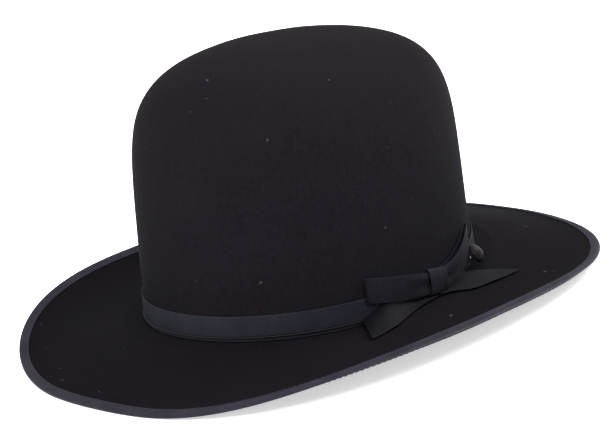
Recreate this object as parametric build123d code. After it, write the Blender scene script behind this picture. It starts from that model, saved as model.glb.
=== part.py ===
from build123d import *
from math import cos, hypot, pi, radians, sin, tan
import os

# Open-crown felt hat. Millimetres, +Z up, front of the hat towards -Y, the bow on the wearer's
# left (+X). The origin is on the surface the hat stands on, below the middle of the brim.
# "angle" runs round the hat in degrees from +X; "off" is a distance out of the felt's surface.

# Crown
CROWN_HALF_WIDTH = 88.0     # outside of the felt at the brim break
CROWN_HALF_LENGTH = 106.3
CROWN_HEIGHT = 147.0        # brim break to the top
CROWN_TAPER = 0.048         # share of the width lost from the break to the top
CROWN_SQUARENESS = 8.3      # how late the side wall turns in to the top
CROWN_ROUNDNESS = 2.3       # how round the shoulder is
CROWN_LEAN = 3.2            # degrees that the crown leans back
LEAN_BLEND = 60.0           # height over which the level break takes up the lean
FELT = 2.0                  # thickness of the felt

# Brim
BREAK_HEIGHT = 11.2         # height of the break where crown and brim meet
BREAK_SADDLE = 2.4          # the break is this much lower at the sides and higher at the ends
BRIM_HALF_WIDTH = 149.6
BRIM_HALF_LENGTH = 176.1
BRIM_SQUARENESS = 2.33      # exponent of the plan outline, 2 is an ellipse
SIDE_RISE = 16.0            # height of the edge at the sides above the front and back
RISE_TWIST = 10.4           # the front corners rise sooner than the back ones
REST_SPAN = 0.18            # cosine of the angle up to which front and back lie level
SIDE_CURL = 43.0            # degrees, slope of the edge at the sides
END_DIP = 12.0              # degrees, fall of the edge at the front and back

# Ribbons
RIBBON = 0.45               # thickness of grosgrain ribbon
GAP = 0.1                   # air between pieces that are sewn together
BAND_HEIGHT = 14.1          # both ribbons of the hatband
STEP_HEIGHT = 3.1           # part of the lower ribbon that shows below the upper one
BINDING_INNER = 5.0         # width of the binding on the brim's top face
BINDING_OUTER = 6.0         # width of the binding on the brim's underside
BOW_RIBBON = 14.0           # width of the bow's ribbon

# Guard cord and its button
CORD_RADIUS = 0.45
BUTTON_RADIUS = 5.7
BUTTON_TILT = 33.0          # degrees that its face looks up
BUTTON_ANGLE = 30.6
BUTTON_HEIGHT = 18.3        # of its back, measured like BREAK_HEIGHT
BUTTON_OFF = 5.5
SHANK_REACH = 2.1           # middle of the shank's loop, behind the button

# Sweatband and lining
SWEATBAND = 1.2             # thickness of the leather
SWEATBAND_HEIGHT = 40.0
SWEATBAND_OFF = -3.6        # outer face of the leather, from the outside of the felt
LINING = 0.4

ROUND = 40                  # points on each ring that goes round the hat


# Surfaces of the felt

def on_ellipse(angle, width, length):
    return width * cos(radians(angle)), length * sin(radians(angle))


def break_height(angle):
    return BREAK_HEIGHT - BREAK_SADDLE * cos(2 * radians(angle))


def crown_point(angle, height, off=0.0):
    """Point at a height above the break, off outside the felt's outer face."""
    top = CROWN_HEIGHT + off
    share = min(max(height / top, 0.0), 1.0)
    width = (1 - CROWN_TAPER * share) * (1 - share**CROWN_SQUARENESS) ** (1 / CROWN_ROUNDNESS)
    x, y = on_ellipse(angle, (CROWN_HALF_WIDTH + off) * width, (CROWN_HALF_LENGTH + off) * width)
    lean = radians(CROWN_LEAN)
    level = max(1 - max(height, 0.0) / LEAN_BLEND, 0.0)
    z = height * cos(lean) - y * sin(lean) * (1 - level)
    z += break_height(angle) * level + BREAK_HEIGHT * (1 - level)
    return Vector(x, y * cos(lean) + height * sin(lean), z)


def brim_edge(angle):
    """Outer end of the felt's top face."""
    c, s = cos(radians(angle)), sin(radians(angle))
    power = 2 / BRIM_SQUARENESS
    x = BRIM_HALF_WIDTH * abs(c) ** power * (1 if c > 0 else -1)
    y = BRIM_HALF_LENGTH * abs(s) ** power * (1 if s > 0 else -1)
    lifted = max(0.0, (abs(c) - REST_SPAN) / (1 - REST_SPAN)) ** 2
    return Vector(x, y, lifted * (SIDE_RISE - RISE_TWIST * s))


def edge_slope(angle):
    side = cos(radians(angle)) ** 2
    return radians(SIDE_CURL * side - END_DIP * (1 - side))


def brim_point(angle, inward, off=0.0):
    """Point a distance inward from the edge along the felt, off above its top face."""
    start, end = crown_point(angle, 0.0), brim_edge(angle)
    run = Vector(end.X - start.X, end.Y - start.Y, 0)
    slope = edge_slope(angle)
    u = 1 - inward * cos(slope) / run.length
    v = min(u, 1.0)
    height = (1 - 3 * v**2 + 2 * v**3) * start.Z + (3 * v**2 - 2 * v**3) * end.Z
    height += (v**3 - v**2) * tan(slope) * run.length + (u - v) * tan(slope) * run.length
    rise = (6 * v - 6 * v**2) * (end.Z - start.Z) + (3 * v**2 - 2 * v) * tan(slope) * run.length
    normal = Vector(0, 0, run.length) - run.normalized() * rise
    plan = Vector(start.X, start.Y, 0) + run * u
    return Vector(plan.X, plan.Y, height) + normal.normalized() * off


def brim_share(angle, share, off=0.0):
    """Point at a share of the brim's width, 0 at the crown and 1 at the edge."""
    start, end = crown_point(angle, 0.0), brim_edge(angle)
    run = hypot(end.X - start.X, end.Y - start.Y)
    return brim_point(angle, (1 - share) * run / cos(edge_slope(angle)), off)


# Solids

def ring(place):
    """Closed smooth wire through place(angle) all round the hat."""
    points = [place(360 * i / ROUND) for i in range(ROUND)]
    return Wire([Edge.make_spline(points, periodic=True)])


def hoop(places):
    """Solid whose section has its corners at places, carried right round the hat."""
    rings = [ring(place) for place in places]
    return Solid(Shell.make_loft(rings + [rings[0]], ruled=True))


def dome(outer, inner, places):
    """Solid from the point outer through rings at places to the point inner."""
    wires = [Vertex(*outer)] + [ring(p) for p in places] + [Vertex(*inner)]
    return Solid.make_loft(wires, ruled=True)


def quad(a, b, c, d):
    return Wire.make_polygon([a, b, c, d], close=True)


def strip(stations, thick=RIBBON):
    """Ribbon through stations, each its two edge points and the direction of its face."""
    sections = []
    for low, high, face in stations:
        step = face.normalized() * thick
        sections.append(quad(low, high, high + step, low + step))
    return Solid.make_loft(sections, ruled=True)


def cord(points, radius):
    """Round cord along a smooth line through points."""
    line = Edge.make_spline(points)
    profile = Plane(line @ 0, z_dir=line % 0) * Circle(radius)
    return sweep(profile, path=line)


def stitch(centre, along, face, long, wide=0.5, thick=0.35):
    """One thread stitch lying on a surface."""
    place = Plane(centre, x_dir=along, z_dir=face)
    body = place * Box(long, wide, thick, align=(Align.CENTER, Align.CENTER, Align.MIN))
    return body.solid()


def outward(angle):
    """Level direction square to the crown's wall."""
    x, y = cos(radians(angle)) / CROWN_HALF_WIDTH, sin(radians(angle)) / CROWN_HALF_LENGTH
    return Vector(x, y, 0).normalized()


def wall(height, off):
    return lambda angle: crown_point(angle, height, off)


def brim(inward, off):
    return lambda angle: brim_point(angle, inward, off)


# Felt

def crown_levels(low, high, off):
    """Heights from low to high, closer together where the shoulder turns in."""
    top = CROWN_HEIGHT + off
    shares = [0, .1, .22, .35, .48, .6, .7, .78, .84, .89, .93, .96, .98, .992, .998, .9997]
    return [low + (high - low) * s for s in shares if low + (high - low) * s < top]


def crown_top(off):
    return crown_point(0, CROWN_HEIGHT + off, off)


def felt_body():
    shares = [.03, .1, .2, .32, .44, .56, .67, .77, .86, .94]
    outer = [wall(h, 0) for h in reversed(crown_levels(0, CROWN_HEIGHT, 0))]
    top_face = [lambda a, s=s: brim_share(a, s) for s in shares] + [brim(0, 0)]
    underside = [brim(0, -FELT)] + [lambda a, s=s: brim_share(a, s, -FELT) for s in reversed(shares)]
    inner = [wall(h, -FELT) for h in crown_levels(0, CROWN_HEIGHT - FELT, -FELT)]
    return dome(crown_top(0), crown_top(-FELT), outer + top_face + underside + inner)


def brim_binding():
    under, over = -FELT - GAP, GAP
    return hoop([
        brim(BINDING_INNER, over), brim(2.5, over), brim(-GAP, over),
        brim(-GAP, under), brim(3, under), brim(BINDING_OUTER, under),
        brim(BINDING_OUTER, under - RIBBON), brim(3, under - RIBBON), brim(0.2, under - RIBBON),
        brim(-GAP - RIBBON, -FELT * 0.8), brim(-GAP - RIBBON, -FELT * 0.2),
        brim(0.2, over + RIBBON), brim(2.5, over + RIBBON), brim(BINDING_INNER, over + RIBBON),
    ])


# Hatband

def under_ribbon():
    near, far = GAP, GAP + RIBBON
    return hoop([wall(0.4, near), wall(BAND_HEIGHT - 1, near), wall(BAND_HEIGHT - 1, far), wall(0.4, far)])


def upper_ribbon():
    near = 2 * GAP + RIBBON
    far = near + RIBBON
    low = STEP_HEIGHT + 0.3
    return hoop([wall(low, near), wall(BAND_HEIGHT, near), wall(BAND_HEIGHT, far), wall(low, far)])


def guard_cord():
    """Elastic cord all round the hat, in the step below the upper ribbon."""
    middle_off = 2 * GAP + RIBBON + CORD_RADIUS
    middle_height = STEP_HEIGHT - CORD_RADIUS
    corners = [360 * i / 8 for i in range(8)]
    return hoop([
        wall(middle_height + CORD_RADIUS * sin(radians(c)), middle_off + CORD_RADIUS * cos(radians(c)))
        for c in corners])


def band_tacks():
    """Short stitches that hold the band to the felt, along its upper edge."""
    off = 2 * (GAP + RIBBON) + 0.25
    tacks = []
    for angle in range(-170, 180, 20):
        if abs(angle) > 35:
            here = crown_point(angle, BAND_HEIGHT - 0.8, off)
            tacks.append(stitch(here, Vector(0, 0, 1), outward(angle), 0.9, 0.35, 0.25))
    return Compound(children=tacks)


# Bow. Its loops lie on the band and climb away from the knot.

BOW_OFF = 2 * (GAP + RIBBON) + 0.15     # inner face of the bow, out of the felt
FRONT_END, KNOT_FRONT, KNOT_BACK, BACK_END = -22.0, 1.0, 10.0, 28.5
KNOT_LOW, KNOT_HIGH = 2.8, 17.7         # heights above the break
LOOP_LOW, LOOP_CLIMB = 3.35, 0.36       # height at the knot, and rise per degree
KNOT_FOOT = 0.65                        # air under the knot's ends, which lie straight
KNOT_DEPTH = 2.75                       # how far the knot stands off its ends
LOOP_DEPTH = 2.6                        # how far the loop's outer layer stands off its inner one


def loop_station(angle, off, face, away):
    low = LOOP_LOW + LOOP_CLIMB * away
    low_point = crown_point(angle, low, off)
    return low_point, crown_point(angle, low + BOW_RIBBON - 0.5, off), face


def bow_loop(start, end):
    """Flattened loop of ribbon that leaves the knot at start and folds back at end."""
    turn = 1 if end > start else -1
    span = abs(end - start)
    stations = []
    for share in (0, .25, .5, .75, .93):
        angle = start + turn * span * share
        stations.append(loop_station(angle, BOW_OFF, outward(angle), span * share))
    radius = LOOP_DEPTH / 2
    for bend in (-60, -25, 0, 25, 60):
        angle = end + turn * (cos(radians(bend)) - 1) * 0.7
        off = BOW_OFF + radius + (radius - RIBBON) * sin(radians(bend))
        along = Vector(-outward(angle).Y, outward(angle).X, 0) * turn
        face = outward(angle) * -sin(radians(bend)) - along * cos(radians(bend))
        stations.append(loop_station(angle, off, face, span))
    for share in (.9, .72, .5, .28, .1, 0):
        angle = start + turn * span * share
        swell = LOOP_DEPTH + 1.2 * sin(pi * share) - 1.0 * (1 - share)
        stations.append(loop_station(angle, BOW_OFF + swell, outward(angle) * -1, span * share))
    return strip(stations)


def bow_knot():
    """Ribbon over the middle of the bow, its ends turned in to the band above and below."""
    middle = (KNOT_LOW + KNOT_HIGH) / 2
    half_height = (KNOT_HIGH - KNOT_LOW) / 2 - RIBBON
    stations = []
    for turn in (-90, -75, -60, -45, -25, -8, 8, 25, 45, 60, 75, 90):
        t = radians(turn)
        height = middle + half_height * abs(sin(t)) ** 0.5 * (1 if t > 0 else -1)
        off = BOW_OFF + KNOT_FOOT + KNOT_DEPTH * cos(t) ** 0.6
        face = outward((KNOT_FRONT + KNOT_BACK) / 2) * cos(t) + Vector(0, 0, sin(t))
        stations.append((crown_point(KNOT_FRONT, height, off), crown_point(KNOT_BACK, height, off), face))
    return strip(stations)


def tail(edges):
    """Ribbon end that lies on the brim, from pairs of points on its inner and outer edges."""
    stations = []
    for i, (inner, outer) in enumerate(edges):
        along = edges[min(i + 1, len(edges) - 1)][0] - edges[max(i - 1, 0)][0]
        face = along.cross(outer - inner)
        stations.append((inner, outer, face if face.Z > 0 else face * -1))
    return strip(stations)


def front_tail():
    return tail([
        (crown_point(0.4, 2.9, 2.0), brim_share(0.8, 0.06, 1.2)),
        (crown_point(-5, 4.4, 1.9), brim_share(-4.5, 0.085, 1.2)),
        (crown_point(-10, 6.1, 1.8), brim_share(-9.6, 0.15, 1.2)),
        (crown_point(-15, 7.6, 1.8), brim_share(-14.8, 0.235, 1.2)),
        (crown_point(-19.5, 6.0, 2.0), brim_share(-19.2, 0.28, 1.1)),
        (crown_point(-23.9, 3.3, 2.2), brim_share(-23.8, 0.335, 1.0)),
    ])


def rear_tail():
    return tail([
        (crown_point(10.6, 2.3, 2.0), brim_share(9.0, 0.10, 1.2)),
        (crown_point(14.0, 3.4, 2.0), brim_share(12.2, 0.205, 1.2)),
        (crown_point(18.0, 4.3, 2.1), brim_share(17.0, 0.275, 1.2)),
        (crown_point(21.8, 3.6, 2.7), brim_share(22.6, 0.34, 1.2)),
        (crown_point(24.6, 1.8, 4.2), brim_share(29.4, 0.42, 1.2)),
    ])


def bow_tacks():
    """Stitches through the two corners of each folded loop end."""
    tacks = []
    for angle, turn in ((FRONT_END + 1.3, -1), (BACK_END - 1.3, 1)):
        span = abs(BACK_END - KNOT_BACK) if turn > 0 else abs(KNOT_FRONT - FRONT_END)
        low = LOOP_LOW + LOOP_CLIMB * span
        for height in (low + 1.2, low + BOW_RIBBON - 1.7):
            here = crown_point(angle, height, BOW_OFF + LOOP_DEPTH + 0.5)
            tacks.append(stitch(here, Vector(0, 0, 1), outward(angle), 1.2, 0.5, 0.4))
    return Compound(children=tacks)


# Guard button: a domed button on a metal shank, held to the band by a short lead of the cord

def button_frame():
    """Centre of the button's back and the direction of its face."""
    height = BUTTON_HEIGHT - break_height(BUTTON_ANGLE)
    tilt = radians(BUTTON_TILT)
    face = outward(BUTTON_ANGLE) * cos(tilt) + Vector(0, 0, sin(tilt))
    return crown_point(BUTTON_ANGLE, height, BUTTON_OFF), face


def guard_button():
    """Domed disc: a straight rim with a shallow cap on it."""
    centre, face = button_frame()
    rim, rise = 1.6, 2.7
    curve = (BUTTON_RADIUS**2 + rise**2) / (2 * rise)
    up = (Align.CENTER, Align.CENTER, Align.MIN)
    cap_part = (Pos(0, 0, rim + rise - curve) * Sphere(curve)) & (Pos(0, 0, rim) * Cylinder(9, 3, align=up))
    return Plane(centre, z_dir=face) * (Cylinder(BUTTON_RADIUS, rim, align=up) + cap_part)


def guard_shank():
    """Metal loop standing out of a small plate on the back of the button."""
    centre, face = button_frame()
    loop = Pos(0, 0, -SHANK_REACH) * Rot(90, 0, 0) * Torus(1.7, 0.35)
    plate = Pos(0, 0, -0.35) * Cylinder(2.4, 0.5)
    sideways = Vector(0, 0, 1).cross(face)
    return Plane(centre, x_dir=sideways.cross(face) * -1, z_dir=face) * (loop + plate)


LEAD_ROOT = (27.8, 3.2, 2.6)            # angle, height above the break, off


def guard_lead():
    centre, face = button_frame()
    root = crown_point(*LEAD_ROOT)
    end = centre - face * SHANK_REACH
    middle = (root + end) * 0.5 + face * 0.4
    return cord([root, middle, end], CORD_RADIUS)


def guard_eyelet():
    """Small worked loop that the lead passes through at the band's lower edge."""
    here = crown_point(LEAD_ROOT[0] - 1.4, LEAD_ROOT[1], 1.95)
    return Plane(here, x_dir=Vector(0, 0, 1), z_dir=outward(LEAD_ROOT[0])) * Torus(1.3, 0.35)


# Inside of the hat

def sweatband_leather():
    low, levels = 0.5, [0, .35, .7, 1.0]
    outer = [wall(low + SWEATBAND_HEIGHT * s, SWEATBAND_OFF) for s in levels]
    inner = [wall(low + SWEATBAND_HEIGHT * s, SWEATBAND_OFF - SWEATBAND) for s in reversed(levels)]
    return hoop(outer + inner)


REED_RADIUS = 0.7
REED_HEIGHT = -1.4                      # middle of the reed, above the break


def round_hoop(height, off, radius, corners=8):
    turns = [2 * pi * i / corners for i in range(corners)]
    return hoop([wall(height + radius * sin(t), off + radius * cos(t)) for t in turns])


def low_wall(height, off):
    """Like wall, but also right below the break."""
    def place(angle):
        return crown_point(angle, 0, off) + Vector(0, 0, height)
    return place


def sweatband_reed():
    off = SWEATBAND_OFF - SWEATBAND / 2
    turns = [2 * pi * i / 8 for i in range(8)]
    return hoop([low_wall(REED_HEIGHT + REED_RADIUS * sin(t), off + REED_RADIUS * cos(t)) for t in turns])


def reed_tape():
    """Tape folded under the reed, its two legs on either side of the leather's lower edge."""
    off = SWEATBAND_OFF - SWEATBAND / 2
    inner, outer = REED_RADIUS + 0.3, REED_RADIUS + 0.6
    bottom = REED_HEIGHT
    legs = 2.6
    return hoop([
        low_wall(legs, off + inner), low_wall(bottom, off + inner),
        low_wall(bottom - inner, off + inner * 0.5), low_wall(bottom - inner, off - inner * 0.5),
        low_wall(bottom, off - inner), low_wall(legs, off - inner), low_wall(legs, off - outer),
        low_wall(bottom, off - outer), low_wall(bottom - outer, off - outer * 0.5),
        low_wall(bottom - outer, off + outer * 0.5), low_wall(bottom, off + outer),
        low_wall(legs, off + outer)])


def patch(angle_from, angle_to, low, high, off, thick):
    """Flat-lying piece on the inner side of the crown's wall."""
    stations = []
    for i in range(4):
        angle = angle_from + (angle_to - angle_from) * i / 3
        stations.append((crown_point(angle, low, off), crown_point(angle, high, off), outward(angle) * -1))
    return strip(stations, thick)


def back_seam_tape():
    off = SWEATBAND_OFF - SWEATBAND - GAP
    return patch(88, 92, 4.2, SWEATBAND_HEIGHT - 3, off, 0.4)


def size_tag():
    return patch(100, 108, 12, 30, SWEATBAND_OFF - SWEATBAND - GAP, 0.3)


def sweatband_bow():
    """Tiny flat bow over the lower end of the back seam."""
    off = SWEATBAND_OFF - SWEATBAND - 2 * GAP - 0.4
    place = Plane(crown_point(90, 9, off), x_dir=Vector(1, 0, 0), z_dir=Vector(0, -1, 0))
    wing = Polyline((0.9, 0.8), (7.5, 2.9), (7.5, -2.9), (0.9, -0.8), (0.9, 0.8))
    left = make_face(wing)
    shape = extrude(left, 0.8) + extrude(mirror(left, Plane.YZ), 0.8)
    shape += Box(2.2, 3.2, 1.6, align=(Align.CENTER, Align.CENTER, Align.MIN))
    return place * shape


LINING_OFF = -FELT - 0.5
LINING_LOW, LINING_HIGH = 30.0, 126.0


def lining_side():
    levels = [0, .25, .5, .72, .88, 1.0]
    span = LINING_HIGH - LINING_LOW
    outer = [wall(LINING_LOW + span * s, LINING_OFF) for s in levels]
    inner = [wall(LINING_LOW + span * s, LINING_OFF - LINING) for s in reversed(levels)]
    return hoop(outer + inner)


def lining_piping():
    return round_hoop(LINING_HIGH + 1.0, LINING_OFF - 1.0, 0.8)


def cap(off, thick, low):
    """Thin dome under the crown's top, from height low up to its middle."""
    outer_levels = [h for h in crown_levels(0, CROWN_HEIGHT + off, off) if h > low]
    inner_levels = [h for h in crown_levels(0, CROWN_HEIGHT + off - thick, off - thick) if h > low]
    outer = [wall(h, off) for h in reversed(outer_levels)] + [wall(low, off)]
    inner = [wall(low, off - thick)] + [wall(h, off - thick) for h in inner_levels]
    return dome(crown_top(off), crown_top(off - thick), outer + inner)


def lining_tip():
    return cap(LINING_OFF, LINING, LINING_HIGH + 2.4)


def tip_shield():
    """Clear cover over the middle of the lining."""
    return cap(LINING_OFF - LINING - 0.3, 0.3, CROWN_HEIGHT - 9.5)


# Every sub-part, by the name of its node

def build():
    return {
        "felt_body": felt_body(),
        "brim_binding": brim_binding(),
        "band_under_ribbon": under_ribbon(),
        "band_upper_ribbon": upper_ribbon(),
        "band_tack_stitches": band_tacks(),
        "guard_cord": guard_cord(),
        "guard_eyelet": guard_eyelet(),
        "guard_lead": guard_lead(),
        "guard_button": guard_button(),
        "guard_button_shank": guard_shank(),
        "bow_front_loop": bow_loop(KNOT_FRONT + 0.6, FRONT_END),
        "bow_rear_loop": bow_loop(KNOT_BACK - 0.6, BACK_END),
        "bow_knot": bow_knot(),
        "bow_front_tail": front_tail(),
        "bow_rear_tail": rear_tail(),
        "bow_tack_stitches": bow_tacks(),
        "sweatband_leather": sweatband_leather(),
        "sweatband_reed": sweatband_reed(),
        "sweatband_reed_tape": reed_tape(),
        "sweatband_back_seam": back_seam_tape(),
        "sweatband_bow": sweatband_bow(),
        "size_tag": size_tag(),
        "lining_side": lining_side(),
        "lining_tip": lining_tip(),
        "lining_piping": lining_piping(),
        "tip_shield": tip_shield(),
    }


def main():
    nodes = build()
    stand = -nodes["brim_binding"].bounding_box().min.Z
    os.makedirs("parts", exist_ok=True)
    for name, shape in nodes.items():
        export_step(shape.moved(Location((0, 0, stand))), f"parts/{name}.step")
    print("raised by", round(stand, 3), "mm to stand on the floor")


main()
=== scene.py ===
import bpy
import math
from mathutils import Matrix, Vector, noise


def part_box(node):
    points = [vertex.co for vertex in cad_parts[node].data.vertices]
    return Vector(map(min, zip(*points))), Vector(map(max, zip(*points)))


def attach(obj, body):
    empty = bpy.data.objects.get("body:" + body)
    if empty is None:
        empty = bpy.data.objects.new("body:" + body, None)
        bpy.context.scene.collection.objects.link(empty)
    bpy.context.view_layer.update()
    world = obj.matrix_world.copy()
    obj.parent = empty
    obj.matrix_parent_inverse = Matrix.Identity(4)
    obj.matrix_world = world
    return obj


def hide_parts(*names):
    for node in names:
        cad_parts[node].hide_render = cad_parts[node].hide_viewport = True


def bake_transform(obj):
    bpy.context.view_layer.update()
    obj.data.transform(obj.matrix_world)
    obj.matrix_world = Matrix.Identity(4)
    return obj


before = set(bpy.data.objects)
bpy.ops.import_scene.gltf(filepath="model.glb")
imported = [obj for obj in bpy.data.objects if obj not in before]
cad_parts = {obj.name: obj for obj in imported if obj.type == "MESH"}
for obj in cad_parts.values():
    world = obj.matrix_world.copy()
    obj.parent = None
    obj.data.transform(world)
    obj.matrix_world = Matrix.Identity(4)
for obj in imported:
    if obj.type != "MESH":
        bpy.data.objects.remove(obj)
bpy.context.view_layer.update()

# The hat's sizes in millimetres, with its angles and shares. +Z is up, the front is -Y and the bow
# is on +X. Angles round the hat are in degrees from +X.
MM = 0.001
FELT = 2.0

# Crown: half width, half length and height; how it narrows and rounds over; how it leans back
CROWN_WIDTH, CROWN_LENGTH, CROWN_HEIGHT = 88.0, 106.3, 147.0
CROWN_TAPER, CROWN_SQUARE, CROWN_ROUND = 0.048, 8.3, 2.3
LEAN, LEAN_BLEND = math.radians(3.2), 60.0

# Break between crown and brim: its height, and how far it falls at the sides and rises at the ends
BREAK, SADDLE = 11.2, 2.4

# Brim: half width, half length and squareness of its edge; the edge's rise at the sides, how that
# rise grows towards the front, and the span at each end that rests; how steeply it turns up or down
BRIM_WIDTH, BRIM_LENGTH, BRIM_POWER = 149.6, 176.1, 2.33
SIDE_RISE, RISE_TWIST, REST_SPAN = 16.0, 10.4, 0.18
SIDE_CURL, END_DIP = math.radians(43), math.radians(12)

# Ribbon: the thickness kept for it, the gap between layers, and the thickness of its cloth
RIBBON, GAP = 0.45, 0.1
RIBBON_CLOTH = RIBBON - 0.05

# Heights above the break of the step that the lower ribbon shows, and of the band's top
STEP, BAND = 3.1, 14.1

# Angles of the bow's front end, the two sides of its knot, and its back end
FRONT_END, KNOT_FRONT, KNOT_BACK, BACK_END = -22.0, 2.0, 10.0, 29.5

# How far the hat is raised to stand on the floor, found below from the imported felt
STAND = 0.0


# Places on the hat, worked out in millimetres and handed on in metres

def crown(angle, height, off=0.0):
    """Point on the crown's wall or top at a height above the break, off outside the felt."""
    top = CROWN_HEIGHT + off
    share = min(max(height / top, 0.0), 1.0)
    width = (1 - CROWN_TAPER * share) * (1 - share**CROWN_SQUARE) ** (1 / CROWN_ROUND)
    a = math.radians(angle)
    x = (CROWN_WIDTH + off) * width * math.cos(a)
    y = (CROWN_LENGTH + off) * width * math.sin(a)
    level = max(1 - max(height, 0.0) / LEAN_BLEND, 0.0)
    base = (BREAK - SADDLE * math.cos(2 * a)) * level + BREAK * (1 - level)
    z = height * math.cos(LEAN) - y * math.sin(LEAN) * (1 - level) + base + STAND
    return Vector((x, y * math.cos(LEAN) + height * math.sin(LEAN), z)) * MM


def edge(angle):
    """Point on the brim's edge, in millimetres."""
    c, s = math.cos(math.radians(angle)), math.sin(math.radians(angle))
    x = BRIM_WIDTH * math.copysign(abs(c) ** (2 / BRIM_POWER), c)
    y = BRIM_LENGTH * math.copysign(abs(s) ** (2 / BRIM_POWER), s)
    lift = max(0.0, (abs(c) - REST_SPAN) / (1 - REST_SPAN)) ** 2
    return Vector((x, y, lift * (SIDE_RISE - RISE_TWIST * s) + STAND))


def brim(angle, share, off=0.0):
    """Point at a share of the brim's width out from the crown, off above its top face."""
    start, end = crown(angle, 0.0) / MM, edge(angle)
    run = Vector((end.x - start.x, end.y - start.y, 0))
    side = math.cos(math.radians(angle)) ** 2
    rise = math.tan(SIDE_CURL * side - END_DIP * (1 - side)) * run.length
    v = min(share, 1.0)
    z = (1 - 3 * v**2 + 2 * v**3) * start.z + (3 * v**2 - 2 * v**3) * end.z
    z += (v**3 - v**2 + share - v) * rise
    slope = (6 * v - 6 * v**2) * (end.z - start.z) + (3 * v**2 - 2 * v) * rise
    normal = (Vector((0, 0, run.length)) - run.normalized() * slope).normalized()
    return (Vector((start.x, start.y, 0)) + run * share + Vector((0, 0, z)) + normal * off) * MM


def brim_in(angle, inward, off=0.0):
    """Point a distance inward from the edge, measured along the felt."""
    start, end = crown(angle, 0.0) / MM, edge(angle)
    run = math.hypot(end.x - start.x, end.y - start.y)
    side = math.cos(math.radians(angle)) ** 2
    slope = SIDE_CURL * side - END_DIP * (1 - side)
    return brim(angle, 1 - inward * math.cos(slope) / run, off)


# The crown is highest at the front of its top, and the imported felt's top tells how high it stands.
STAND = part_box("felt_body")[1][2] / MM - max(
    crown(-90, CROWN_HEIGHT * share / 1000).z / MM for share in range(900, 1001))


# Making meshes

MERGE_GAP = 0.02
BEVEL_CORNER = math.radians(50)


def deselect():
    if bpy.context.object and bpy.context.object.mode != "OBJECT":
        bpy.ops.object.mode_set(mode="OBJECT")
    bpy.ops.object.select_all(action="DESELECT")


def choose(piece):
    deselect()
    piece.select_set(True)
    bpy.context.view_layer.objects.active = piece


def use_modifier(piece, kind, **settings):
    choose(piece)
    modifier = piece.modifiers.new(kind.title(), kind)
    for name, value in settings.items():
        setattr(modifier, name, value)
    bpy.ops.object.modifier_apply(modifier=modifier.name)


def face_normal(piece, number):
    piece.data.update()
    face = piece.data.polygons[number]
    return face.center.copy(), face.normal.copy()


def nearest_normal(piece, laid):
    piece.data.update()
    return min(piece.data.polygons, key=lambda face: (face.center - laid[0]).length).normal


def cloth(name, across, along, place, thick=0.0, round_hat=False, smooth=60, bevel=0.0):
    """Grid laid over place(u, v), with u and v from 0 to 1, closed round the hat if asked. Its
    thickness grows on the side that its faces look to, or behind them where thick is negative."""
    deselect()
    bpy.ops.mesh.primitive_grid_add(x_subdivisions=across, y_subdivisions=along, size=2)
    piece = bpy.context.object
    piece.name = piece.data.name = name
    for vertex in piece.data.vertices:
        u, v = (vertex.co.x + 1) / 2, (vertex.co.y + 1) / 2
        vertex.co = place(u, v)
    middle = len(piece.data.polygons) // 2
    laid = face_normal(piece, middle)
    choose(piece)
    bpy.ops.object.mode_set(mode="EDIT")
    bpy.ops.mesh.select_all(action="SELECT")
    if round_hat:
        bpy.ops.mesh.remove_doubles(threshold=MERGE_GAP * MM)
    bpy.ops.mesh.normals_make_consistent(inside=False)
    bpy.ops.object.mode_set(mode="OBJECT")
    if nearest_normal(piece, laid).dot(laid[1]) < 0:
        bpy.ops.object.mode_set(mode="EDIT")
        bpy.ops.mesh.flip_normals()
        bpy.ops.object.mode_set(mode="OBJECT")
    if thick:
        use_modifier(piece, "SOLIDIFY", thickness=abs(thick) * MM, offset=math.copysign(1, thick),
                     use_even_offset=True)
    if bevel:
        use_modifier(piece, "BEVEL", width=bevel * MM, segments=2, limit_method="ANGLE",
                     angle_limit=BEVEL_CORNER)
    choose(piece)
    bpy.ops.object.shade_smooth_by_angle(angle=math.radians(smooth))
    return piece


def blend_points(points, t):
    """Smooth line through points, t from 0 to 1 and kept just inside the last stretch."""
    place = min(t * (len(points) - 1), len(points) - 1.001)
    i = int(place)
    f = place - i
    a, b = points[max(i - 1, 0)], points[i]
    c, d = points[i + 1], points[min(i + 2, len(points) - 1)]
    return [0.5 * (2 * q + (r - p) * f + (2 * p - 5 * q + 4 * r - s) * f * f
                   + (3 * q - p - 3 * r + s) * f**3) for p, q, r, s in zip(a, b, c, d)]


def joined(name, template, places):
    """One object of many copies of template, each with its own mesh."""
    copies = []
    for matrix in places:
        copy = template.copy()
        copy.data = template.data.copy()
        copy.data.transform(matrix)
        bpy.context.collection.objects.link(copy)
        copies.append(copy)
    deselect()
    for copy in copies:
        copy.select_set(True)
    bpy.context.view_layer.objects.active = copies[0]
    bpy.ops.object.join()
    piece = bpy.context.object
    piece.name = piece.data.name = name
    bpy.data.objects.remove(template)
    return piece


def thread_stitch(long, wide, tall):
    """One stitch: a short rounded grain of thread."""
    deselect()
    bpy.ops.mesh.primitive_uv_sphere_add(segments=8, ring_count=6, radius=0.5)
    piece = bpy.context.object
    piece.data.transform(Matrix.Diagonal((long * MM, wide * MM, tall * MM, 1)))
    bpy.ops.object.shade_smooth()
    return piece


def facing(point, along, up):
    """Placing of a copy at point, with its length the way of along and its top towards up."""
    x = along.normalized()
    z = (up - x * up.dot(x)).normalized()
    y = z.cross(x)
    return Matrix.Translation(point) @ Matrix((x, y, z)).transposed().to_4x4()


# Materials

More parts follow.
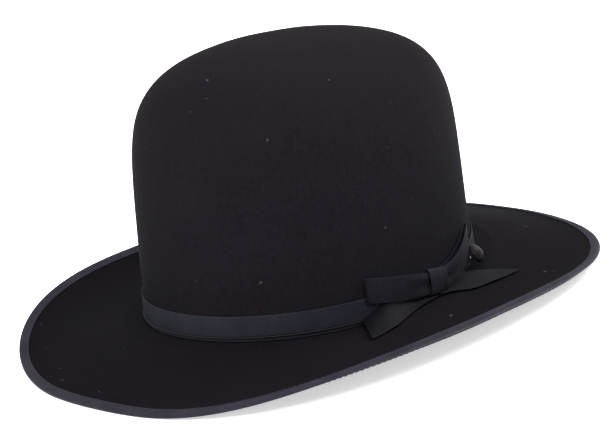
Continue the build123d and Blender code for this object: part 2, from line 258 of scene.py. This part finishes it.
class Value:
    """Wraps a socket, so that shader maths reads as arithmetic."""
    def __init__(self, material, socket):
        self.material, self.socket = material, socket

    def _math(self, operation, a, b):
        return self.material.node("ShaderNodeMath", {"operation": operation}, {0: a, 1: b})["Value"]

    def __add__(self, other):
        return self._math("ADD", self, other)

    def __radd__(self, other):
        return self._math("ADD", other, self)

    def __sub__(self, other):
        return self._math("SUBTRACT", self, other)

    def __rsub__(self, other):
        return self._math("SUBTRACT", other, self)

    def __mul__(self, other):
        return self._math("MULTIPLY", self, other)

    def __rmul__(self, other):
        return self._math("MULTIPLY", other, self)


class Finish:
    """One node material, built around a Principled shader."""
    def __init__(self, name, **fixed):
        self.material = bpy.data.materials.new(name)
        self.material.use_nodes = True
        self.tree = self.material.node_tree
        self.shader = self.tree.nodes["Principled BSDF"]
        for socket, value in fixed.items():
            self.shader.inputs[socket.replace("_", " ")].default_value = value

    def node(self, kind, settings=None, sockets=None):
        node = self.tree.nodes.new(kind)
        for name, value in (settings or {}).items():
            setattr(node, name, value)
        for name, value in (sockets or {}).items():
            self.feed(node.inputs[name], value)
        return {out.name: Value(self, out) for out in reversed(node.outputs)}

    def feed(self, socket, value):
        if isinstance(value, Value):
            self.tree.links.new(value.socket, socket)
        else:
            socket.default_value = value

    def place(self):
        return self.node("ShaderNodeTexCoord")["Object"]

    def uv(self):
        return self.node("ShaderNodeTexCoord")["UV"]

    def split(self, vector):
        return self.node("ShaderNodeSeparateXYZ", sockets={0: vector})

    def cloud(self, vector, scale, detail=3.0, roughness=0.55):
        return self.node("ShaderNodeTexNoise", sockets={
            "Vector": vector, "Scale": scale, "Detail": detail, "Roughness": roughness})["Fac"]

    def between(self, value, low, high):
        """0 below low, 1 above high."""
        return self.node("ShaderNodeMapRange", {"clamp": True}, {
            "Value": value, "From Min": low, "From Max": high})["Result"]

    def wave(self, value, count):
        """Ribs: count of them as value goes from 0 to 1."""
        turn = value * (count * math.tau)
        return self.node("ShaderNodeMath", {"operation": "SINE"}, {0: turn})["Value"] * 0.5 + 0.5

    def mix(self, factor, a, b):
        node = self.tree.nodes.new("ShaderNodeMix")
        node.data_type = "RGBA"
        for socket, value in ((0, factor), (6, a), (7, b)):
            self.feed(node.inputs[socket], value)
        return Value(self, node.outputs[2])

    def bump(self, height, depth, strength=1.0):
        normal = self.node("ShaderNodeBump", sockets={
            "Height": height, "Distance": depth * MM, "Strength": strength})["Normal"]
        self.feed(self.shader.inputs["Normal"], normal)

    def colour(self, value):
        self.feed(self.shader.inputs["Base Color"], value)

    def rough(self, value):
        self.feed(self.shader.inputs["Roughness"], value)


def rgb(r, g, b):
    return (r, g, b, 1.0)


def felt_finish():
    """Brushed fur felt: a soft nap, slow changes of tone, a few specks of lint, painted light that makes the
    crown paler and warmer towards its top, and painted shade that darkens the brim.
    """
    f = Finish("fur_felt", Specular_IOR_Level=0.03)
    here = f.place()
    height = f.split(here)["Z"]
    broad = f.cloud(here, 16, 3)
    fine = f.cloud(here, 420, 4, 0.7)
    nap = f.cloud(here, 1900, 2, 0.6)
    tone = f.mix(f.between(broad, .35, .68), rgb(.0047, .0043, .0059), rgb(.0063, .0056, .0075))
    tone = f.mix(f.between(fine, .40, .75) * 0.7, tone, rgb(.0094, .0084, .0112))
    # Painted light: the crown's colour turns warmer and a little paler towards its top.
    tone = f.mix(f.between(height, .080, .165) * 0.5, tone, rgb(.0078, .0054, .0072))
    # Painted shade: the brim, below about 30 mm, is coloured darker.
    brim_painted_shade = f.between(height, .030, .018) * 0.55
    tone = f.mix(brim_painted_shade, tone, rgb(.0024, .0018, .0026))
    lint = f.between(f.cloud(here, 300, 1, 0.3), .80, .83)
    f.colour(f.mix(lint * 0.7, tone, rgb(.050, .047, .056)))
    f.rough(f.between(fine, -.6, 1.2) * 0.2 + 0.78)
    f.bump(nap * 0.55 + fine * 0.45, 0.35, 0.6)
    return f.material


def ribbon_finish(name, dark, light, ribs, edges=0.035, gloss=0.5):
    """Grosgrain: ribs across the ribbon, a selvedge along each edge, worn a little paler."""
    f = Finish(name, Specular_IOR_Level=0.045)
    parts = f.split(f.uv())
    along, across = parts["X"], parts["Y"]
    rib = f.wave(along, ribs)
    weave = f.cloud(f.place(), 900, 2)
    slow = f.cloud(f.place(), 55, 3)
    edge_a = f.between(across, edges, 0.0)
    edge_b = f.between(across, 1 - edges, 1.0)
    selvedge = edge_a + edge_b
    tone = f.mix(f.between(slow, .35, .7) * 0.6 + rib * 0.25, rgb(*dark), rgb(*light))
    f.colour(f.mix(selvedge * 0.45, tone, rgb(*[c * 1.5 for c in light])))
    f.rough(weave * 0.2 + (gloss - 0.05))
    f.bump(rib * (1 - selvedge) * 0.8 + weave * 0.25, 0.16, 0.8)
    return f.material


def thread_finish(name, shade):
    f = Finish(name, Specular_IOR_Level=0.12)
    ply = f.cloud(f.place(), 2600, 2)
    f.colour(f.mix(ply, rgb(*[c * 0.6 for c in shade]), rgb(*[c * 1.4 for c in shade])))
    f.rough(ply * 0.2 + 0.5)
    f.bump(ply, 0.08)
    return f.material


def button_finish():
    """Dark horn-like button, dulled by fine handling marks."""
    f = Finish("button_shell", Specular_IOR_Level=0.05)
    haze = f.cloud(f.place(), 160, 4)
    f.colour(f.mix(haze, rgb(.0040, .0034, .0034), rgb(.0090, .0075, .0070)))
    f.rough(f.between(haze, .3, .8) * 0.15 + 0.30)
    f.bump(f.cloud(f.place(), 700, 2), 0.02, 0.4)
    return f.material


def metal_finish():
    f = Finish("bright_wire", Metallic=1.0)
    haze = f.cloud(f.place(), 900, 3)
    f.colour(f.mix(haze, rgb(.62, .62, .66), rgb(.86, .86, .88)))
    f.rough(haze * 0.2 + 0.12)
    f.bump(haze, 0.02, 0.3)
    return f.material


def leather_finish():
    """Tan sweatband leather: fine grain, darker where it has been handled."""
    f = Finish("tan_leather", Specular_IOR_Level=0.45)
    here = f.place()
    grain = f.node("ShaderNodeTexVoronoi", {"feature": "DISTANCE_TO_EDGE"}, {
        "Vector": here, "Scale": 900.0})["Distance"]
    wear = f.cloud(here, 28, 4)
    f.colour(f.mix(f.between(wear, .3, .7), rgb(.17, .085, .042), rgb(.30, .165, .085)))
    f.rough(wear * 0.25 + 0.35)
    f.bump(f.between(grain, 0.0, 0.25), 0.12, 0.5)
    return f.material


def satin_finish(name, dark, light, threads=1400):
    """Lining satin: fine threads one way, soft slow creases, with painted shade in their hollows and paler
    colour on their ridges.
    """
    f = Finish(name, Sheen_Weight=0.3, Sheen_Roughness=0.25, Specular_IOR_Level=0.6)
    parts = f.split(f.uv())
    thread = f.wave(parts["X"], threads)
    crease = f.cloud(f.place(), 40, 3)
    # Painted shade: the colour follows the crease bumps, darker in their hollows.
    f.colour(f.mix(f.between(crease, .3, .7), rgb(*dark), rgb(*light)))
    f.rough(thread * 0.08 + crease * 0.15 + 0.28)
    f.bump(crease * 0.9 + thread * 0.05, 0.6, 0.5)
    return f.material


def clear_finish():
    f = Finish("clear_sheet", Specular_IOR_Level=0.6)
    haze = f.cloud(f.place(), 60, 3)
    f.colour(f.mix(haze, rgb(.80, .78, .70), rgb(.90, .89, .83)))
    f.rough(haze * 0.15 + 0.08)
    f.feed(f.shader.inputs["Alpha"], haze * 0.12 + 0.18)
    f.bump(haze, 0.1, 0.3)
    return f.material


def paper_finish():
    f = Finish("blank_card")
    fibre = f.cloud(f.place(), 1200, 4)
    f.colour(f.mix(fibre, rgb(.66, .62, .52), rgb(.80, .77, .68)))
    f.rough(fibre * 0.1 + 0.75)
    f.bump(fibre, 0.05, 0.4)
    return f.material


FELT_FINISH = felt_finish()
BAND_FINISH = ribbon_finish("band_grosgrain", (.0100, .0102, .0150), (.0175, .0178, .0255), 620)
STEP_FINISH = ribbon_finish("step_grosgrain", (.0095, .0088, .0124), (.0165, .0155, .0215), 620, 0.08)
BINDING_FINISH = ribbon_finish(
    "binding_grosgrain", (.0125, .0113, .0168), (.0250, .0226, .0322), 900, 0.05, 0.55)
LOOP_FINISH = ribbon_finish("bow_loop_grosgrain", (.0055, .0050, .0074), (.0115, .0106, .0150), 92, 0.04, 0.5)
KNOT_FINISH = ribbon_finish("bow_knot_grosgrain", (.0045, .0042, .0064), (.0110, .0104, .0146), 26, 0.05, 0.5)
# Painted shade: the tails are the bow's grosgrain coloured far darker than its loops and knot.
TAIL_PAINTED_SHADE_FINISH = ribbon_finish("bow_tail_grosgrain_painted_shade", (.0022, .0019, .0030), (.0044, .0038, .0058), 44, 0.04, 0.5)
THREAD_FINISH = thread_finish("black_thread", (.008, .007, .010))
BINDING_THREAD = thread_finish("binding_thread", (.020, .017, .026))
CORD_FINISH = thread_finish("braided_elastic", (.0075, .0070, .0085))
LEATHER_FINISH = leather_finish()
TAPE_FINISH = thread_finish("woven_tape", (.10, .085, .075))
REED_FINISH = thread_finish("reed_core", (.40, .35, .28))
SATIN_FINISH = satin_finish("lining_satin", (.40, .34, .26), (.58, .52, .42))
PIPING_FINISH = satin_finish("piping_satin", (.32, .27, .20), (.48, .42, .32), 600)


def dress(piece, finish, body="hat"):
    """Gives a piece its finish, and attaches it to its body unless body is None."""
    piece.data.materials.clear()
    piece.data.materials.append(finish)
    if body:
        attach(piece, body)
    return piece


# Felt

# Shares of the section where the crown's top ends and where its wall ends
TOP_PART, WALL_PART = 0.34, 0.66
# Share of the height that the top takes up, and how late it falls
TOP_DROP, TOP_CURVE = 0.16, 3.2
# Low ring in the brim round the band: its height, and its place and width as shares of the brim
RING_HEIGHT, RING_AT, RING_WIDTH = 0.5, 0.17, 0.035
# Slow waves of a hat shaped by hand, and the share of them left by the band and the edge
WAVE, CALM = 0.5, 0.15
# Height in metres that the waves push away from, and how little they push up or down
WAVE_MIDDLE, WAVE_FLATTEN = 0.05, 0.6


def hat_section(angle, v):
    """Outer face of the felt: v is 0 at the middle of the crown's top and 1 at the brim's edge."""
    if v < TOP_PART:
        t = v / TOP_PART
        height = CROWN_HEIGHT * (1 - TOP_DROP * t**TOP_CURVE)
    elif v < WALL_PART:
        t = (v - TOP_PART) / (WALL_PART - TOP_PART)
        height = CROWN_HEIGHT * (1 - TOP_DROP) * (1 - t)
    else:
        t = (v - WALL_PART) / (1 - WALL_PART)
        return brim(angle, t, RING_HEIGHT * math.exp(-((t - RING_AT) / RING_WIDTH) ** 2))
    return crown(angle, height)


def felt_place(u, v):
    u = 1 - u
    point = hat_section(360 * u, v)
    pull = noise.noise(Vector((math.cos(math.tau * u) * 1.7, math.sin(math.tau * u) * 1.7, v * 4)))
    away = Vector((point.x, point.y, (point.z - WAVE_MIDDLE) * WAVE_FLATTEN)).normalized()
    wave = WAVE * MM * min(1.0, v / 0.25) ** 2
    if 0.60 < v < 0.70 or v > 0.9:
        wave *= CALM
    return point + away * pull * wave


def make_felt():
    felt = cloth("felt_hat", 192, 150, felt_place, thick=-FELT, round_hat=True, smooth=80)
    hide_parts("felt_body")
    return dress(felt, FELT_FINISH)


# Brim binding

# The folded ribbon's section: distance in from the edge, and height above the felt's top face
BINDING_PATH = [
    (4.4, GAP + .1), (2.4, GAP + .12), (0.5, GAP + .15),
    (-0.42, -0.25), (-0.62, -1.0), (-0.42, -1.75),
    (0.5, -FELT - GAP - .15), (3.2, -FELT - GAP - .12), (6.0, -FELT - GAP - .1),
]
BINDING_WANDER = 0.12

STITCHES_IN_ROW = 300
STITCH_SIZE = (2.1, .5, .42)
# Each row of sewing: its distance in from the edge, and height above the felt's top face
STITCH_ROWS = (
    ("binding_stitches_under", 5.1, -FELT - GAP - .62),
    ("binding_stitches_top", 3.7, GAP + .60),
)


def binding_place(u, v):
    inward, off = blend_points(BINDING_PATH, v)
    u = 1 - u
    where = Vector((math.cos(math.tau * u) * 9, math.sin(math.tau * u) * 9, v))
    wander = BINDING_WANDER * noise.noise(where) if inward > 2 else 0
    return brim_in(360 * u, inward + wander, off)


def stitch_row(name, inward, off):
    outside = 1 if off > 0 else -1
    spots = []
    for i in range(STITCHES_IN_ROW):
        angle = 360 * i / STITCHES_IN_ROW
        here, ahead = brim_in(angle, inward, off), brim_in(angle + .4, inward, off)
        spots.append(facing(here, ahead - here, brim_in(angle, inward, off + outside) - here))
    dress(joined(name, thread_stitch(*STITCH_SIZE), spots), BINDING_THREAD)


def make_binding():
    binding = cloth("edge_binding", 480, 26, binding_place, thick=RIBBON_CLOTH, round_hat=True, smooth=70)
    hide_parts("brim_binding")
    dress(binding, BINDING_FINISH)
    for name, inward, off in STITCH_ROWS:
        stitch_row(name, inward, off)


# Hatband and guard cord

BAND_EASE = 0.10
CORD_RADIUS, PLAIT_DEPTH, PLAITS = 0.42, 0.05, 320
CORD_LOW, CORD_OFF = STEP - .45, 2 * GAP + RIBBON + .47


def band_place(low, high, off, swell=0.0):
    """A ribbon round the crown from low to high, wandering a little and swelling at its middle."""
    def place(u, v):
        where = Vector((math.cos(math.tau * u) * 3, math.sin(math.tau * u) * 3, low))
        height = low + (high - low) * v + BAND_EASE * noise.noise(where)
        return crown(360 * u, height, off + swell * math.sin(math.pi * v))
    return place


def make_band():
    under = cloth("band_step_ribbon", 384, 8, band_place(0.5, BAND - 1.2, GAP + .06),
                  thick=RIBBON_CLOTH, round_hat=True, smooth=70)
    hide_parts("band_under_ribbon")
    dress(under, STEP_FINISH)
    upper = cloth("band_top_ribbon", 384, 12, band_place(STEP + .35, BAND, 2 * GAP + RIBBON + .08, .12),
                  thick=RIBBON_CLOTH, round_hat=True, smooth=70)
    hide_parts("band_upper_ribbon")
    dress(upper, BAND_FINISH)


def guard_cord_place(u, v):
    turn = math.tau * v
    radius = CORD_RADIUS + PLAIT_DEPTH * math.sin(math.tau * PLAITS * u + 2 * turn)
    return crown(360 * u, CORD_LOW + radius * math.sin(turn), CORD_OFF + radius * math.cos(turn))


def make_guard_cord():
    guard = cloth("guard_cord_round_band", 1600, 8, guard_cord_place, round_hat=True, smooth=180)
    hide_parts("guard_cord")
    dress(guard, CORD_FINISH)


# Bow

# How far outside the felt the bow starts, how deep its loops are and how wide each one is
BOW_OFF = 2 * (GAP + RIBBON) + 0.2
LOOP_DEPTH = 2.6
FRONT_LOOP_WIDTH, REAR_LOOP_WIDTH = 13.2, 14.4
# How far each loop starts under the knot, in degrees
LOOP_TUCK = 1.4
# A loop narrows and folds towards the knot, and its under layer sits higher and narrower
LOOP_PINCH, FOLD, FOLD_WANDER = 0.10, 0.45, 0.18
UNDER_LIFT, UNDER_NARROW = 1.2, 0.2
# The knot's drop below its path, the slant of its sides, and its creases
KNOT_DROP, KNOT_SLANT, KNOT_CREASE = 0.7, -3.2, 0.22
# How far a tail arches across its width, and how far it wanders
TAIL_ARCH, TAIL_WANDER = 0.5, 0.4


def loop_path(start, end, depth):
    """Out along the band and back over itself, as rows of angle and off."""
    turn = 1 if end > start else -1
    tip = end - turn * 0.2
    out = [(start, BOW_OFF), (start * .7 + tip * .3, BOW_OFF + .1), (start * .35 + tip * .65, BOW_OFF + .15),
           (tip - turn * 1.2, BOW_OFF + .15), (tip - turn * .15, BOW_OFF + .5)]
    back = [(tip + turn * .1, BOW_OFF + depth * .5), (tip - turn * .2, BOW_OFF + depth - .5),
            (tip - turn * 1.2, BOW_OFF + depth - .1), (start * .35 + tip * .65, BOW_OFF + depth + .8),
            (start * .7 + tip * .3, BOW_OFF + depth + .9), (start * .92 + tip * .08, BOW_OFF + depth - .1),
            (start, BOW_OFF + depth - .9)]
    return out + back


def front_loop_middle(away):
    """Height of the loop's middle line, by degrees away from the knot."""
    return 10.1 + 0.335 * away


def rear_loop_middle(away):
    return 8.9 + 0.029 * away**2


def make_loop(name, node, start, end, middle, width):
    path = loop_path(start, end, LOOP_DEPTH)
    span = abs(end - start)

    def place(u, v):
        angle, off = blend_points(path, u)
        away = abs(angle - start)
        near = max(0.0, 1 - away / (span * 0.55)) * (1 if u > 0.5 else 0.3)
        under = max(0.0, 1 - u / 0.35)
        across = (v - .5) * width * (1 - LOOP_PINCH * near) * (1 - UNDER_NARROW * under)
        fold = FOLD * near * math.sin(v * 9.0 + 1.0)
        fold += FOLD_WANDER * noise.noise(Vector((u * 7, v * 2, span)))
        return crown(angle, middle(away) + under * UNDER_LIFT + across, off + (fold if u > .55 else 0))

    turn = 1 if end > start else -1
    loop = cloth(name, 110, 22, place, thick=RIBBON_CLOTH * turn, smooth=70)
    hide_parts(node)
    dress(loop, LOOP_FINISH)


# The knot's wrap from its lower end over the front to its upper end, as height and off
KNOT_PATH = [
    (3.3, BOW_OFF + .5), (2.7, BOW_OFF + 1.6), (2.6, BOW_OFF + 2.8), (4.4, BOW_OFF + 3.5),
    (7.4, BOW_OFF + 3.75), (10.6, BOW_OFF + 3.8), (14.2, BOW_OFF + 3.5),
    (16.8, BOW_OFF + 2.8), (17.5, BOW_OFF + 1.6), (17.2, BOW_OFF + .5),
]


def knot_place(u, v):
    height, off = blend_points(KNOT_PATH, u)
    angle = KNOT_FRONT + (KNOT_BACK - KNOT_FRONT) * v
    crease = math.sin(math.tau * (v * 2.2 + 0.15 * math.sin(u * 4))) * math.sin(math.pi * u)
    return crown(angle, height - KNOT_DROP + (v - .5) * KNOT_SLANT, off + KNOT_CREASE * crease)


def make_knot():
    knot = cloth("bow_wrap", 60, 30, knot_place, thick=RIBBON_CLOTH, smooth=70)
    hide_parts("bow_knot")
    dress(knot, KNOT_FINISH)


# Each tail from the knot to its tip: its edge by the crown as angle, height and off, and its edge
# on the brim as angle, share of the brim's width and off
FRONT_TAIL = [((5.0, 2.6, 2.0), (5.0, .06, 1.2)), ((0.4, 3.2, 2.0), (0.8, .06, 1.3)),
              ((-5, 5.4, 1.9), (-4.5, .085, 1.3)), ((-10, 7.2, 1.8), (-9.6, .15, 1.3)),
              ((-15, 8.6, 1.8), (-14.8, .235, 1.25)), ((-19.5, 6.6, 2.0), (-19.2, .28, 1.2)),
              ((-23.9, 3.3, 2.2), (-23.8, .338, 1.1))]
REAR_TAIL = [((6.5, 2.3, 2.0), (5.5, .06, 1.2)), ((10.6, 2.6, 2.0), (9.0, .10, 1.3)),
             ((14.0, 3.7, 2.0), (12.2, .205, 1.3)), ((18.0, 4.6, 2.1), (17.0, .275, 1.3)),
             ((21.8, 3.9, 2.7), (22.6, .34, 1.3)), ((24.6, 1.8, 4.2), (29.5, .424, 1.3))]


def make_tail(name, node, rows, side):
    inner = [tuple(crown(*a)) for a, b in rows]
    outer = [tuple(brim(*b)) for a, b in rows]

    def place(u, v):
        a, b = Vector(blend_points(inner, u)), Vector(blend_points(outer, u))
        wander = noise.noise(Vector((u * 4, v * 2, rows[0][0][0])))
        lift = (TAIL_ARCH * math.sin(math.pi * v) + TAIL_WANDER * wander) * MM
        return a.lerp(b, v) + Vector((0, 0, lift * min(1, u * 3)))

    piece = cloth(name, 60, 18, place, thick=RIBBON_CLOTH * side, smooth=70)
    # The weave runs along the ribbon, so its ribs cross the tail and not the grid.
    start, end = place(0, .5), place(1, .5)
    axis = (end - start) / (end - start).length_squared
    weave = piece.data.uv_layers[0].data
    for loop in piece.data.loops:
        along = (piece.data.vertices[loop.vertex_index].co - start).dot(axis)
        weave[loop.index].uv = (along, weave[loop.index].uv.y)
    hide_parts(node)
    dress(piece, TAIL_PAINTED_SHADE_FINISH, None)
    root = (Vector(inner[1]) + Vector(outer[1])) / 2
    further = (Vector(inner[2]) + Vector(outer[2])) / 2
    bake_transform(piece)


def make_bow():
    make_loop("bow_front_loop_ribbon", "bow_front_loop", KNOT_FRONT + LOOP_TUCK, FRONT_END,
              front_loop_middle, FRONT_LOOP_WIDTH)
    make_loop("bow_rear_loop_ribbon", "bow_rear_loop", KNOT_BACK - LOOP_TUCK, BACK_END,
              rear_loop_middle, REAR_LOOP_WIDTH)
    make_knot()
    make_tail("bow_tail_front", "bow_front_tail", FRONT_TAIL, 1)
    make_tail("bow_tail_rear", "bow_rear_tail", REAR_TAIL, -1)


# Inside of the hat. Each OFF is measured from the felt's outer face, so it is below 0.

LEATHER_LOW, LEATHER_HIGH, LEATHER_OFF, LEATHER_THICK = 0.6, 40.4, -3.7, 1.0
LINING_LOW, LINING_HIGH, LINING_OFF, LINING_THICK = 30.2, 125.8, -2.55, 0.3
TIP_LOW, TIP_ROUND = 128.6, 2.6
SHIELD_LOW, SHIELD_OFF, SHIELD_THICK = 137.8, -3.3, 0.2
PIPING_HEIGHT, PIPING_OFF, PIPING_RADIUS = 127.0, -3.5, 0.75


def ring_place(low, high, off):
    def place(u, v):
        return crown(360 * u, low + (high - low) * v, off)
    return place


def tip_place(off, low):
    """The inside of the crown's top, from its middle down to low."""
    def place(u, v):
        top = CROWN_HEIGHT + off
        return crown(360 * u, top - (top - low) * v**TIP_ROUND, off)
    return place


def piping_place(u, v):
    turn = math.tau * v
    height = PIPING_HEIGHT + PIPING_RADIUS * math.sin(turn)
    return crown(360 * u, height, PIPING_OFF + PIPING_RADIUS * math.cos(turn))


def make_inside():
    leather = cloth("sweatband", 240, 16, ring_place(LEATHER_LOW, LEATHER_HIGH, LEATHER_OFF),
                    thick=-LEATHER_THICK, round_hat=True, smooth=70, bevel=0.2)
    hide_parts("sweatband_leather")
    dress(leather, LEATHER_FINISH)
    side = cloth("lining_wall", 240, 30, ring_place(LINING_LOW, LINING_HIGH, LINING_OFF),
                 thick=-LINING_THICK, round_hat=True, smooth=70)
    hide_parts("lining_side")
    dress(side, SATIN_FINISH)
    tip = cloth("lining_crown_tip", 160, 30, tip_place(LINING_OFF, TIP_LOW),
                thick=LINING_THICK, round_hat=True, smooth=80)
    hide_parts("lining_tip")
    dress(tip, SATIN_FINISH)
    shield = cloth("clear_tip_shield", 120, 20, tip_place(SHIELD_OFF, SHIELD_LOW),
                   thick=SHIELD_THICK, round_hat=True, smooth=80)
    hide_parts("tip_shield")
    dress(shield, clear_finish())
    piping = cloth("lining_piping_cord", 300, 10, piping_place, round_hat=True, smooth=180)
    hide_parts("lining_piping")
    dress(piping, PIPING_FINISH)


def finish_cad_nodes():
    """CAD pieces whose shape stays, given their real finish."""
    for names, finish in (
        (("band_tack_stitches", "guard_eyelet", "bow_tack_stitches"), THREAD_FINISH),
        (("guard_lead",), CORD_FINISH),
        (("guard_button",), button_finish()),
        (("guard_button_shank",), metal_finish()),
        (("sweatband_reed",), REED_FINISH),
        (("sweatband_reed_tape", "sweatband_back_seam", "sweatband_bow"), TAPE_FINISH),
        (("size_tag",), paper_finish()),
    ):
        for name in names:
            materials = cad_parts[name].data.materials
            materials.clear()
            materials.append(finish)


# Studio

FLOOR_SIZE, FLOOR_DROP, FLOOR_GLOW = 8, 0.0002, 0.55
# Each light: its place and size in metres, and its power in watts
LIGHTS = (
    ("key_light", (0.9, -0.5, 1.5), 1.0, 34),
    ("fill_light", (-0.9, -1.1, 0.9), 1.2, 14),
    ("back_light", (0.4, 1.2, 1.1), 0.9, 20),
)
LIGHTS_AIM = Vector((0, 0, 0.06))

# The camera: where it looks from, in metres and angles, and its lens in millimetres
AZIMUTH, ELEVATION, ROLL = math.radians(46.7), math.radians(16.5), math.radians(8.9)
DISTANCE, AIM_HEIGHT = 1.502, 0.060
SENSOR, LENS = 36.0, 151.636
SHIFT_RIGHT, SHIFT_UP = 0.011129, -0.030115


def floor_finish():
    f = Finish("studio_paper")
    fibre = f.cloud(f.place(), 300, 3)
    f.colour(f.mix(fibre, rgb(.93, .93, .93), rgb(.96, .96, .96)))
    f.rough(fibre * 0.05 + 0.9)
    f.shader.inputs["Emission Color"].default_value = rgb(1, 1, 1)
    f.shader.inputs["Emission Strength"].default_value = FLOOR_GLOW
    return f.material


def make_studio():
    deselect()
    bpy.ops.mesh.primitive_plane_add(size=FLOOR_SIZE, location=(0, 0, -FLOOR_DROP))
    floor = bpy.context.object
    floor.name = "studio_floor"
    floor.data.materials.append(floor_finish())
    world = bpy.data.worlds.new("studio_air")
    bpy.context.scene.world = world
    world.use_nodes = True
    air = world.node_tree.nodes["Background"].inputs
    air["Color"].default_value = rgb(1, 1, 1)
    air["Strength"].default_value = 1.0
    for name, place, size, power in LIGHTS:
        data = bpy.data.lights.new(name, "AREA")
        data.size, data.energy = size, power
        light = bpy.data.objects.new(name, data)
        bpy.context.collection.objects.link(light)
        light.location = place
        light.rotation_euler = (LIGHTS_AIM - light.location).to_track_quat("-Z", "Y").to_euler()


def make_camera():
    """Three-quarter view from the front on the bow's side, the camera rolled a little."""
    back = Vector((math.sin(AZIMUTH) * math.cos(ELEVATION), -math.cos(AZIMUTH) * math.cos(ELEVATION),
                   math.sin(ELEVATION)))
    right = Vector((math.cos(AZIMUTH), math.sin(AZIMUTH), 0))
    up = back.cross(right)
    turned_right = right * math.cos(ROLL) - up * math.sin(ROLL)
    turned_up = right * math.sin(ROLL) + up * math.cos(ROLL)
    data = bpy.data.cameras.new("camera")
    data.sensor_width, data.lens = SENSOR, LENS
    data.shift_x, data.shift_y = SHIFT_RIGHT, SHIFT_UP
    data.clip_end = 20
    camera = bpy.data.objects.new("camera", data)
    bpy.context.collection.objects.link(camera)
    turn = Matrix((turned_right, turned_up, back)).transposed().to_4x4()
    target = Vector((0, 0, AIM_HEIGHT + STAND * MM))
    camera.matrix_world = Matrix.Translation(target + back * DISTANCE) @ turn
    bpy.context.scene.camera = camera
    bpy.context.scene.view_settings.view_transform = "Standard"


make_felt()
make_binding()
make_band()
make_guard_cord()
make_bow()
make_inside()
finish_cad_nodes()
make_studio()
make_camera()
